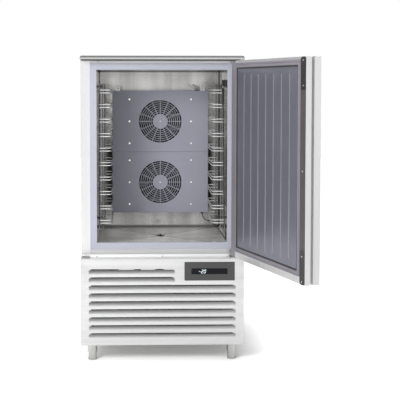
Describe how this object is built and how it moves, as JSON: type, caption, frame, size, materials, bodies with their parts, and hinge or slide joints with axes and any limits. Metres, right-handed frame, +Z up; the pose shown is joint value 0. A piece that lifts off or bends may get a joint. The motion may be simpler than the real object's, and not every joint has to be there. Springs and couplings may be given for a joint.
{
  "type": "blast chiller",
  "caption": "Reach-in blast chiller: insulated cabinet on feet, side-hinged ribbed door, wire tray racks, fan baffle, louvred machine panel with control display.",
  "frame": {"origin": "centre of the underside of the front left foot, on the floor", "axes": "+X to the right seen from the front, +Y to the back, +Z up; the door stands open by 107.3 degrees, hinged on the right"},
  "size_m": [1.0433, 1.575, 1.5],
  "materials": {
    "outer_steel": "fine vertical brushed, satin",
    "panel_steel": "fine brushed, satin, on the front panel and cover",
    "liner_steel": "smooth satin, inside the chamber",
    "slate_steel": "bluish satin, on the baffles and the door's inner panel",
    "bright_wire": "polished",
    "foam": "cut polyurethane foam",
    "strip_plastic": "smooth pale lilac grey",
    "heater_sleeve": "smooth silicone",
    "dark_plastic": "fine grain",
    "grey_plastic": "fine grain",
    "screen": "gloss, lit digits behind",
    "gasket_rubber": "soft satin",
    "black_rubber": "matt",
    "copper": "dull drawn copper",
    "fin_aluminium": "thin sheet, satin",
    "black_paint": "satin black paint",
    "grey_paint": "satin grey paint"
  },
  "bodies": {
    "cabinet": {"side_panel_left": "outer_steel", "side_panel_right": "outer_steel", "back_panel": "outer_steel", "body_plates": "outer_steel", "top_cover": "panel_steel", "insulation": "foam", "chamber_liner": "liner_steel", "chamber_floor": "liner_steel", "frame_strips": "strip_plastic", "frame_heater": "heater_sleeve", "front_rails": "outer_steel", "machine_base": "outer_steel", "front_panel": "panel_steel", "panel_screws": "bright_wire", "control_fascia": "grey_plastic", "display_window": "screen", "control_housing": "dark_plastic", "foot_sleeves": "outer_steel", "hinge_brackets": "outer_steel", "hinge_pins": "bright_wire", "blanking_plate": "grey_plastic", "sensors": "dark_plastic", "rack_pegs": "dark_plastic", "baffle_upper": "slate_steel", "baffle_lower": "slate_steel", "fan_cowls": "black_paint", "fan_motors": "black_paint", "evaporator_coil": "liner_steel", "evaporator_fins": "fin_aluminium", "core_probe": "dark_plastic", "probe_holder": "dark_plastic", "probe_cable": "black_rubber", "drain_pipe": "liner_steel", "compressor": "black_paint", "compressor_mounts": "black_rubber", "condenser": "grey_paint", "condenser_cowl": "grey_paint", "receiver": "black_paint", "refrigerant_pipes": "copper", "electrical_box": "grey_paint", "cable_glands": "dark_plastic"},
    "door": {"door_skin": "outer_steel", "door_core": "foam", "door_liner": "slate_steel", "door_gasket": "gasket_rubber", "grip_trim": "grey_plastic", "trim_screws": "bright_wire", "door_bushes": "dark_plastic"},
    "rack_left": {"left_rack_uprights": "bright_wire", "left_rack_rails": "bright_wire"},
    "rack_right": {"right_rack_uprights": "bright_wire", "right_rack_rails": "bright_wire"},
    "upper_fan": {"fan_upper": "dark_plastic"},
    "lower_fan": {"fan_lower": "dark_plastic"},
    "compartment_fan": {"condenser_fan": "dark_plastic"},
    "front_left_foot": {"foot_front_left": "outer_steel"},
    "front_right_foot": {"foot_front_right": "outer_steel"},
    "rear_left_foot": {"foot_rear_left": "outer_steel"},
    "rear_right_foot": {"foot_rear_right": "outer_steel"},
    "plug": {"drain_plug": "dark_plastic"}
  },
  "joints": [
    {"name": "door_hinge", "type": "hinge", "parent": "cabinet", "child": "door", "pos_m": [0.73, -0.046, 0.9], "axis": [0, 0, 1], "range_deg": [-107.3, 6]},
    {"name": "rack_left_lift", "type": "slide", "parent": "cabinet", "child": "rack_left", "axis": [0, 0, 1], "range_m": [0, 0.018]},
    {"name": "rack_right_lift", "type": "slide", "parent": "cabinet", "child": "rack_right", "axis": [0, 0, 1], "range_m": [0, 0.018]},
    {"name": "upper_fan_spin", "type": "hinge", "parent": "cabinet", "child": "upper_fan", "pos_m": [0.345, 0.4585, 1.165], "axis": [0, 1, 0], "continuous": true},
    {"name": "lower_fan_spin", "type": "hinge", "parent": "cabinet", "child": "lower_fan", "pos_m": [0.345, 0.4585, 0.84], "axis": [0, 1, 0], "continuous": true},
    {"name": "condenser_fan_spin", "type": "hinge", "parent": "cabinet", "child": "compartment_fan", "pos_m": [0.2025, 0.0725, 0.2596], "axis": [0, 1, 0], "continuous": true},
    {"name": "front_left_foot_screw", "type": "slide", "parent": "cabinet", "child": "front_left_foot", "axis": [0, 0, -1], "range_m": [0, 0.025]},
    {"name": "front_right_foot_screw", "type": "slide", "parent": "cabinet", "child": "front_right_foot", "axis": [0, 0, -1], "range_m": [0, 0.025]},
    {"name": "rear_left_foot_screw", "type": "slide", "parent": "cabinet", "child": "rear_left_foot", "axis": [0, 0, -1], "range_m": [0, 0.025]},
    {"name": "rear_right_foot_screw", "type": "slide", "parent": "cabinet", "child": "rear_right_foot", "axis": [0, 0, -1], "range_m": [0, 0.025]},
    {"name": "drain_plug_lift", "type": "slide", "parent": "cabinet", "child": "plug", "axis": [0, 0, 1], "range_m": [0, 0.025]}
  ]
}
